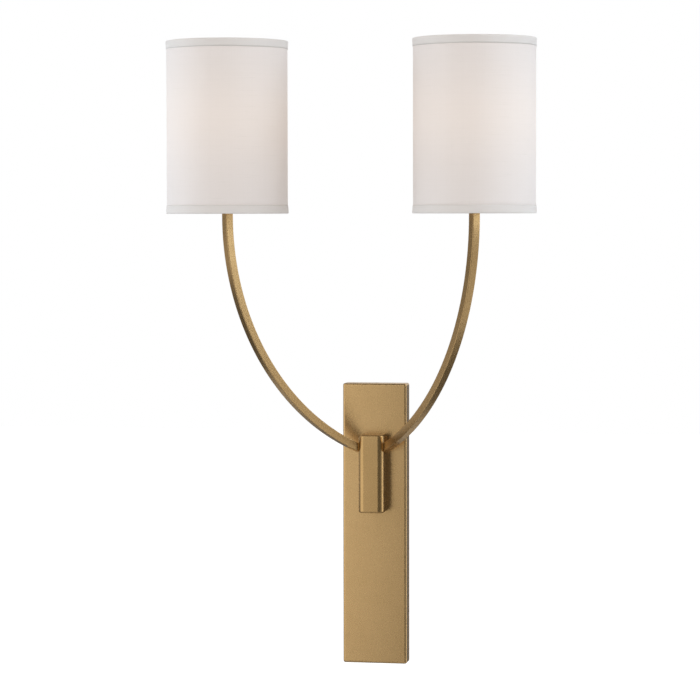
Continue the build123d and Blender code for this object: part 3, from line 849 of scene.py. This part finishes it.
class SCONCE_OT_tape(bpy.types.Operator):
    """Tape folded round each shade's rims and lapped at the back"""

    bl_idname = "sconce.tape"
    bl_label = "Rim tape"

    # Waves of the free edge: how many go round, their share and where they start
    ripples = ((5, 1.0, 0.0), (13, 0.6, 1.0), (29, 0.4, 2.0))

    def execute(self, context):
        size = sizes()
        finish = cloth_finish("shade_tape", finishes().tape, size.tape_pitch, bump=0.3)
        for side in SIDES:
            for rim in ("lower", "upper"):
                self.fold(side, rim, size, finish)
        return {"FINISHED"}

    def fold(self, side, rim, size, finish):
        """Folds one tape as for a lower rim, and turns it over for an upper one."""
        lo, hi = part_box(f"{side}_{rim}_trim")
        height = hi.z - lo.z
        half = size.tape_thickness / 2
        outside = radius_of(f"{side}_{rim}_trim") - half
        free_edge = radius_of(f"{side}_shade_fabric") + half + size.tape_gap
        inside = radius_of(f"{side}_upper_wire") - size.wire_thickness - half
        inner_wall = radius_of(f"{side}_shade_liner") - size.lining_thickness - half
        outline = [
            (free_edge, height),
            (outside, half),
            (inside, half),
            (inside, size.tape_wrap - half),
            (inner_wall, size.tape_wrap - half),
            (inner_wall, size.tape_turn_in),
        ]
        mesh = outline_mesh(outline, closed=False)
        round_corners(mesh, range(1, len(outline) - 1), size.tape_fold, segments=4)
        stretches = [edge for edge in mesh.edges if edge.calc_length() > size.tape_stretch]
        bmesh.ops.subdivide_edges(mesh, edges=stretches, cuts=3)
        spin_round(mesh, size.round_steps)
        face_outwards(mesh, beyond=free_edge - EDGE_GAP)
        self.lay_flat(mesh, outside)
        self.loosen(mesh, size, free_edge - half, size.tape_lap / outside, height)
        if rim == "upper":
            bmesh.ops.scale(mesh, verts=mesh.verts[:], vec=(1, 1, -1))
            bmesh.ops.reverse_faces(mesh, faces=mesh.faces[:])
        piece = finish_piece(
            mesh,
            f"{side}_{rim}_tape",
            finish,
            f"{side}_shade",
            [f"{side}_{rim}_trim"],
            at=on_axis(side, lo.z if rim == "lower" else hi.z),
        )
        thicken(piece, size.tape_thickness, offset=0.0)

    def lay_flat(self, mesh, radius):
        """Gives the tape its UV map: the way round, by the way up and across the fold."""
        layer = mesh.loops.layers.uv.new("Cloth")
        for face in mesh.faces:
            middle = face.calc_center_median()
            middle_turn = math.atan2(middle.y, middle.x)
            for loop in face.loops:
                spot = loop.vert.co
                turn = math.atan2(spot.y, spot.x)
                turn += FULL_TURN * round((middle_turn - turn) / FULL_TURN)
                loop[layer].uv = (turn * radius, spot.z + radius - spot.xy.length)

    def loosen(self, mesh, size, beyond, lap_turn, height):
        """Lets the tape's outer side wander more towards its free edge, and lifts its lapped end."""
        for vert in mesh.verts:
            if vert.co.xy.length < beyond:
                continue
            turn = math.atan2(vert.co.y, vert.co.x)
            wave = sum(share * math.sin(waves * turn + start) for waves, share, start in self.ripples)
            loose = wave * vert.co.z / height
            lapped = abs(turn - BACK) < lap_turn / 2
            vert.co.z += size.tape_wander * loose
            push_out(vert, size.tape_lift * loose + (size.tape_lap_rise if lapped else 0.0))


class SCONCE_OT_shade_frame(bpy.types.Operator):
    """Lining, wires, clamping ring and washer of each shade"""

    bl_idname = "sconce.shade_frame"
    bl_label = "Shade frame"

    def execute(self, context):
        look = finishes()
        paint(lining_finish(), *both("shade_liner"))
        enamel = moulded_finish("white_wire", look.wire, roughness=0.36, texture=900.0)
        paint(enamel, *both("upper_wire"), *both("shade_fitter"))
        paint(moulded_finish("ring_moulding", look.moulding, roughness=0.38), *both("shade_ring"))
        fibre = moulded_finish("fibre_washer", look.fibre, roughness=0.72, texture=2400.0, bump=0.2)
        paint(fibre, *both("ring_washer"))
        return {"FINISHED"}


class SCONCE_OT_lamp_holders(bpy.types.Operator):
    """Moulded lamp holders with a threaded skirt, and the metal inside them"""

    bl_idname = "sconce.lamp_holders"
    bl_label = "Lamp holders"

    def execute(self, context):
        look = finishes()
        finish = moulded_finish("holder_moulding", look.moulding, roughness=0.34, texture=1500.0)
        for side in SIDES:
            self.turn(side, sizes(), finish)
        bare = plated_finish("contact_brass", look.contact, roughness=0.26)
        paint(bare, *both("screw_shell"), *both("centre_contact"))
        paint(plated_finish("nipple_zinc", look.zinc, roughness=0.36), *both("holder_nipple"))
        return {"FINISHED"}

    def turn(self, side, size, finish):
        """Turns one holder: foot, flange, threaded skirt, and the hollows for its metal."""
        lo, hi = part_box(f"{side}_lamp_holder")
        shell_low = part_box(f"{side}_screw_shell")[0].z
        contact_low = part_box(f"{side}_centre_contact")[0].z
        bore_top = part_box(f"{side}_holder_nipple")[1].z + size.moulding_gap
        flange = radius_of(f"{side}_lamp_holder")
        base = flange - size.base_inset
        skirt = flange - size.skirt_inset
        well = radius_of(f"{side}_screw_shell") + size.moulding_gap
        recess = radius_of(f"{side}_centre_contact") + size.contact_gap
        bore = radius_of(f"{side}_holder_nipple") + size.moulding_gap
        flange_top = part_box(f"{side}_ring_washer")[0].z - size.fitter_thickness
        flange_low = flange_top - size.flange_thickness
        outline = [
            (bore, lo.z),
            (base - size.base_chamfer, lo.z),
            (base, lo.z + size.base_chamfer),
            (base, flange_low),
            (flange, flange_low),
            (flange, flange_top),
            (skirt, flange_top),
            (skirt, hi.z),
            (well, hi.z),
            (well, shell_low),
            (recess, shell_low),
            (recess, contact_low),
            (0, contact_low),
            (0, bore_top),
            (bore, bore_top),
        ]
        flange_corners = [outline.index((flange, flange_low)), outline.index((flange, flange_top))]
        mesh = outline_mesh(outline, closed=True)
        cut_edge(mesh, mesh.edges[outline.index((skirt, flange_top))], size.skirt_cuts)
        round_corners(mesh, flange_corners, size.flange_round)
        spin_round(mesh, size.fine_steps)
        cut_thread(
            mesh,
            radius=skirt,
            low=flange_top + size.skirt_foot,
            high=hi.z - size.skirt_head,
            pitch=size.skirt_pitch,
            depth=size.skirt_depth,
            run_out=size.skirt_run_out,
        )
        finish_piece(
            mesh,
            f"{side}_threaded_holder",
            finish,
            "fixture",
            [f"{side}_lamp_holder"],
            at=on_axis(side),
        )


class SCONCE_OT_lamps(bpy.types.Operator):
    """Candle lamps: glass, lit filaments, screw cap and tip contact"""

    bl_idname = "sconce.lamps"
    bl_label = "Lamps"

    def execute(self, context):
        look = finishes()
        paint(glass_finish(), *both("bulb_glass"))
        paint(filament_finish(), *both("bulb_filaments"))
        paint(plated_finish("tip_contact", look.contact, roughness=0.30), *both("bulb_contact"))
        finish = plated_finish("lamp_cap", look.cap, roughness=0.24)
        for side in SIDES:
            self.roll_cap(side, sizes(), finish)
        return {"FINISHED"}

    def roll_cap(self, side, size, finish):
        """Rolls one cap: turned-in end, thread, and the collar that holds the glass."""
        lo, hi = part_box(f"{side}_bulb_base")
        collar = radius_of(f"{side}_bulb_base")
        neck = collar - size.cap_wall
        thread = collar - size.cap_inset
        lip = thread - size.cap_lip
        step = hi.z - size.cap_collar
        thread_foot = (thread, lo.z + size.cap_taper_height)
        outline = [
            (lip, lo.z),
            (thread - size.cap_taper, lo.z),
            thread_foot,
            (thread, step),
            (collar, step),
            (collar, hi.z),
            (neck, hi.z),
            (neck, step + size.cap_shelf),
            (lip, step + size.cap_shelf),
        ]
        mesh = outline_mesh(outline, closed=True)
        cut_edge(mesh, mesh.edges[outline.index(thread_foot)], size.cap_cuts)
        spin_round(mesh, size.fine_steps)
        cut_thread(
            mesh,
            radius=thread,
            low=lo.z + size.cap_foot,
            high=step - size.cap_head,
            pitch=size.cap_pitch,
            depth=size.cap_depth,
            run_out=size.cap_run_out,
        )
        finish_piece(
            mesh,
            f"{side}_screw_cap",
            finish,
            f"{side}_lamp",
            [f"{side}_bulb_base"],
            at=on_axis(side),
        )


class SCONCE_OT_wall_fittings(bpy.types.Operator):
    """Strap, screws, terminal block and leads behind the pan"""

    bl_idname = "sconce.wall_fittings"
    bl_label = "Wall fittings"

    def execute(self, context):
        look = finishes()
        paint(zinc_finish(), "wall_strap", "nipple_washer", "nipple_nut")
        drawn = plated_finish("drawn_zinc", look.zinc, roughness=0.30)
        paint(drawn, "block_nipple", "block_screw", "terminal_screws", "terminal_fixing_screw")
        paint(plated_finish("grub_steel", opaque(look.zinc, share=0.5), roughness=0.36), "pan_grub_screws")
        green = moulded_finish("earth_green", look.earth, roughness=0.34, bump=0.06, metallic=0.65)
        paint(green, "earth_screw")
        paint(moulded_finish("terminal_plastic", look.terminal, roughness=0.36), "terminal_block")
        paint(sleeve_finish(), *both("lead"))
        return {"FINISHED"}


# Stage

# Camera: lens and sensor in millimetres, turns in degrees and place in metres
CAMERA_LENS = 140.29
CAMERA_SENSOR = 36.0
CAMERA_YAW = 10.546
CAMERA_PITCH = -2.779
CAMERA_ROLL = -0.082
CAMERA_PLACE = (0.51335, -2.92127, 0.33174)
CAMERA_SIGHT = 60.0

# Fill light of the white ground, and the tints of the lamps
FILL_LIGHT = (0.590, 0.560, 0.540, 1)
COOL_LIGHT = (0.84, 1.0, 1.16)
WHITE_LIGHT = (1.0, 1.0, 1.0)

# Floor: height, half its width, its two greys, and the glow that takes it to white for the camera
FLOOR_HEIGHT = -0.62
FLOOR_HALF = 9.0
FLOOR_GREYS = ((0.80, 0.80, 0.80, 1), (0.83, 0.83, 0.83, 1))
FLOOR_GLOW = 0.62

# What the lamps and the cards face
LAMP_AIM = Vector((0, -0.1, 0.25))
CARD_AIM = Vector((0, -0.05, 0.1))

# Each lamp's name, place, watts, width, height, tint, and whether metal shows it
LAMPS = (
    ("left_softbox", (-2.00, -0.30, 0.45), 13.2, 1.1, 1.2, COOL_LIGHT, False),
    ("right_softbox", (2.00, -0.20, 0.97), 14.4, 1.0, 1.5, COOL_LIGHT, True),
    ("front_softbox", (0.0, -2.20, 1.60), 12.5, 2.0, 1.2, WHITE_LIGHT, False),
)

# Each card's name, place, width, height and grey, where the white ground is 1
CARDS = (
    ("front_card", (-0.62, -0.79, 0.24), 1.2, 1.32, 1.38),
    ("left_card", (-1.9, 0.75, 0.90), 2.0, 1.8, 0.23),
    ("low_left_card", (-1.15, 0.35, -0.345), 1.0, 0.53, 0.12),
    ("upper_card", (0, -0.5, 1.9), 2.8, 2.4, 0.12),
    ("lower_card", (0, 0.04, -0.6), 2.4, 0.62, 0.12),
    ("low_front_card", (0, -0.52, -0.6), 2.4, 0.5, 0.50),
    ("right_card", (0.50, -0.87, 0.1), 1.59, 1.9, 0.20),
    ("low_right_card", (1.12, -0.17, 0.025), 0.5, 0.55, 0.78),
    ("high_right_card", (0.45, -0.11, 0.42), 0.20, 0.31, 2.6),
    ("low_edge_card", (1.25, 0.48, -0.25), 0.45, 0.5, 2.5),
    ("low_back_card", (0, 0.85, -0.35), 2.2, 1.1, 0.20),
    ("back_card", (-0.1, 1.6, 0.2), 1.5, 2.6, 0.80),
)


def white_to_eye(tree, lighting):
    """Background colour that is white to the eye, in metal and in glass, and softer as light."""
    path = put(tree, "ShaderNodeLightPath").outputs
    mirrored = maths(tree, "MAXIMUM", path["Is Glossy Ray"], path["Is Transmission Ray"])
    looked_at = maths(tree, "MAXIMUM", path["Is Camera Ray"], mirrored)
    return blend_colours(tree, looked_at, lighting, WHITE)


class SCONCE_OT_stage(bpy.types.Operator):
    """White studio: camera, soft lamps, floor, and grey cards, light and dark, that metal reflects"""

    bl_idname = "sconce.stage"
    bl_label = "Stage"

    def execute(self, context):
        context.scene.view_settings.view_transform = "Standard"
        self.set_camera(context)
        self.set_world(context)
        self.lay_floor()
        self.hang_lamps(context)
        self.hang_cards()
        return {"FINISHED"}

    def set_camera(self, context):
        """Camera turned about the upright, then tilted, then rolled."""
        lens = bpy.data.cameras.new("studio_camera")
        lens.lens = CAMERA_LENS
        lens.sensor_width = CAMERA_SENSOR
        lens.clip_end = CAMERA_SIGHT
        camera = bpy.data.objects.new("studio_camera", lens)
        context.scene.collection.objects.link(camera)
        place = Matrix.Translation(CAMERA_PLACE)
        for degrees, axis in ((CAMERA_YAW, "Z"), (90 + CAMERA_PITCH, "X"), (CAMERA_ROLL, "Z")):
            place = place @ Matrix.Rotation(math.radians(degrees), 4, axis)
        camera.matrix_world = place
        context.scene.camera = camera

    def set_world(self, context):
        """White ground that also fills the shadows."""
        world = bpy.data.worlds.new("studio")
        world.use_nodes = True
        world.node_tree.nodes.clear()
        tree = world.node_tree
        ground = white_to_eye(tree, FILL_LIGHT)
        light = put(tree, "ShaderNodeBackground", {"Color": ground, "Strength": 1.0})
        put(tree, "ShaderNodeOutputWorld", {"Surface": light.outputs[0]})
        context.scene.world = world

    def lay_floor(self):
        """Floor that is white from above and clear from below."""
        material, tree, shader = new_material("studio_floor")
        feed(
            tree,
            shader,
            Base_Color=blend_colours(tree, noise(tree, object_place(tree), scale=3.0), *FLOOR_GREYS),
            Roughness=0.9,
            Emission_Color=WHITE,
        )
        eye = put(tree, "ShaderNodeLightPath").outputs["Is Camera Ray"]
        tree.links.new(scaled(tree, eye, times=FLOOR_GLOW), shader.inputs["Emission Strength"])
        clear = put(tree, "ShaderNodeBsdfTransparent")
        below = put(tree, "ShaderNodeNewGeometry").outputs["Backfacing"]
        shown = put(tree, "ShaderNodeMixShader", {0: below, 1: shader.outputs[0], 2: clear.outputs[0]})
        output = next(node for node in tree.nodes if node.type == "OUTPUT_MATERIAL")
        tree.links.new(shown.outputs[0], output.inputs["Surface"])
        mesh = bmesh.new()
        bmesh.ops.create_grid(mesh, x_segments=8, y_segments=8, size=FLOOR_HALF)
        bmesh.ops.translate(mesh, verts=mesh.verts[:], vec=(0, 0, FLOOR_HEIGHT))
        floor = add_object(mesh, "studio_floor", material)

    def hang_lamps(self, context):
        """Soft lamps that the camera doesn't see, each facing the sconce."""
        for name, place, watts, width, height, tint, in_metal in LAMPS:
            light = bpy.data.lights.new(name, "AREA")
            light.shape = "RECTANGLE"
            light.size = width
            light.size_y = height
            light.energy = watts
            light.color = tint
            lamp = bpy.data.objects.new(name, light)
            context.scene.collection.objects.link(lamp)
            lamp.location = place
            lamp.rotation_euler = (LAMP_AIM - Vector(place)).to_track_quat("-Z", "Y").to_euler()
            lamp.visible_camera = False
            lamp.visible_glossy = in_metal

    def hang_cards(self):
        """Cards that only metal and glass see, each facing the sconce."""
        for name, place, width, height, grey in CARDS:
            facing = (CARD_AIM - Vector(place)).to_track_quat("Z", "Y").to_matrix().to_4x4()
            mesh = bmesh.new()
            bmesh.ops.create_grid(mesh, x_segments=2, y_segments=2, size=0.5)
            bmesh.ops.scale(mesh, verts=mesh.verts[:], vec=(width, height, 1))
            bmesh.ops.transform(mesh, verts=mesh.verts[:], matrix=Matrix.Translation(place) @ facing)
            card = add_object(mesh, name, self.card_finish(name, (grey, grey, grey)))
            card.visible_camera = False
            card.visible_diffuse = False
            card.visible_shadow = False
            card.visible_transmission = False

    def card_finish(self, name, grey):
        """Uneven grey that shines by itself and takes no light."""
        material, tree, shader = new_material(f"studio_{name}")
        patches = noise(tree, object_place(tree), scale=2.0)
        feed(
            tree,
            shader,
            Base_Color=BLACK,
            Specular_IOR_Level=0.0,
            Emission_Color=blend_colours(tree, patches, opaque(grey, share=0.9), opaque(grey, share=1.1)),
            Emission_Strength=1.0,
        )
        return material


OPERATORS = (
    SCONCE_OT_stage,
    SCONCE_OT_brass,
    SCONCE_OT_linen,
    SCONCE_OT_tape,
    SCONCE_OT_shade_frame,
    SCONCE_OT_lamp_holders,
    SCONCE_OT_lamps,
    SCONCE_OT_wall_fittings,
)


class SCONCE_PT_panel(bpy.types.Panel):
    """Lists the sconce's pieces, sizes and finishes"""

    bl_label = "Wall Sconce"
    bl_idname = "SCONCE_PT_panel"
    bl_space_type = "VIEW_3D"
    bl_region_type = "UI"
    bl_category = "Sconce"

    def draw(self, context):
        column = self.layout.column()
        for operator in OPERATORS:
            column.operator(operator.bl_idname)
        for group in (context.scene.sconce_sizes, context.scene.sconce_finishes):
            column.separator()
            for name in group.bl_rna.properties.keys():
                if name not in ("rna_type", "name"):
                    column.prop(group, name)


CLASSES = (SconceSizes, SconceFinishes, *OPERATORS, SCONCE_PT_panel)


def register():
    for kind in CLASSES:
        bpy.utils.register_class(kind)
    bpy.types.Scene.sconce_sizes = PointerProperty(type=SconceSizes)
    bpy.types.Scene.sconce_finishes = PointerProperty(type=SconceFinishes)


def unregister():
    del bpy.types.Scene.sconce_finishes
    del bpy.types.Scene.sconce_sizes
    for kind in reversed(CLASSES):
        bpy.utils.unregister_class(kind)


def main():
    register()
    for operator in OPERATORS:
        group, name = operator.bl_idname.split(".")
        getattr(getattr(bpy.ops, group), name)()


if __name__ == "__main__":
    main()
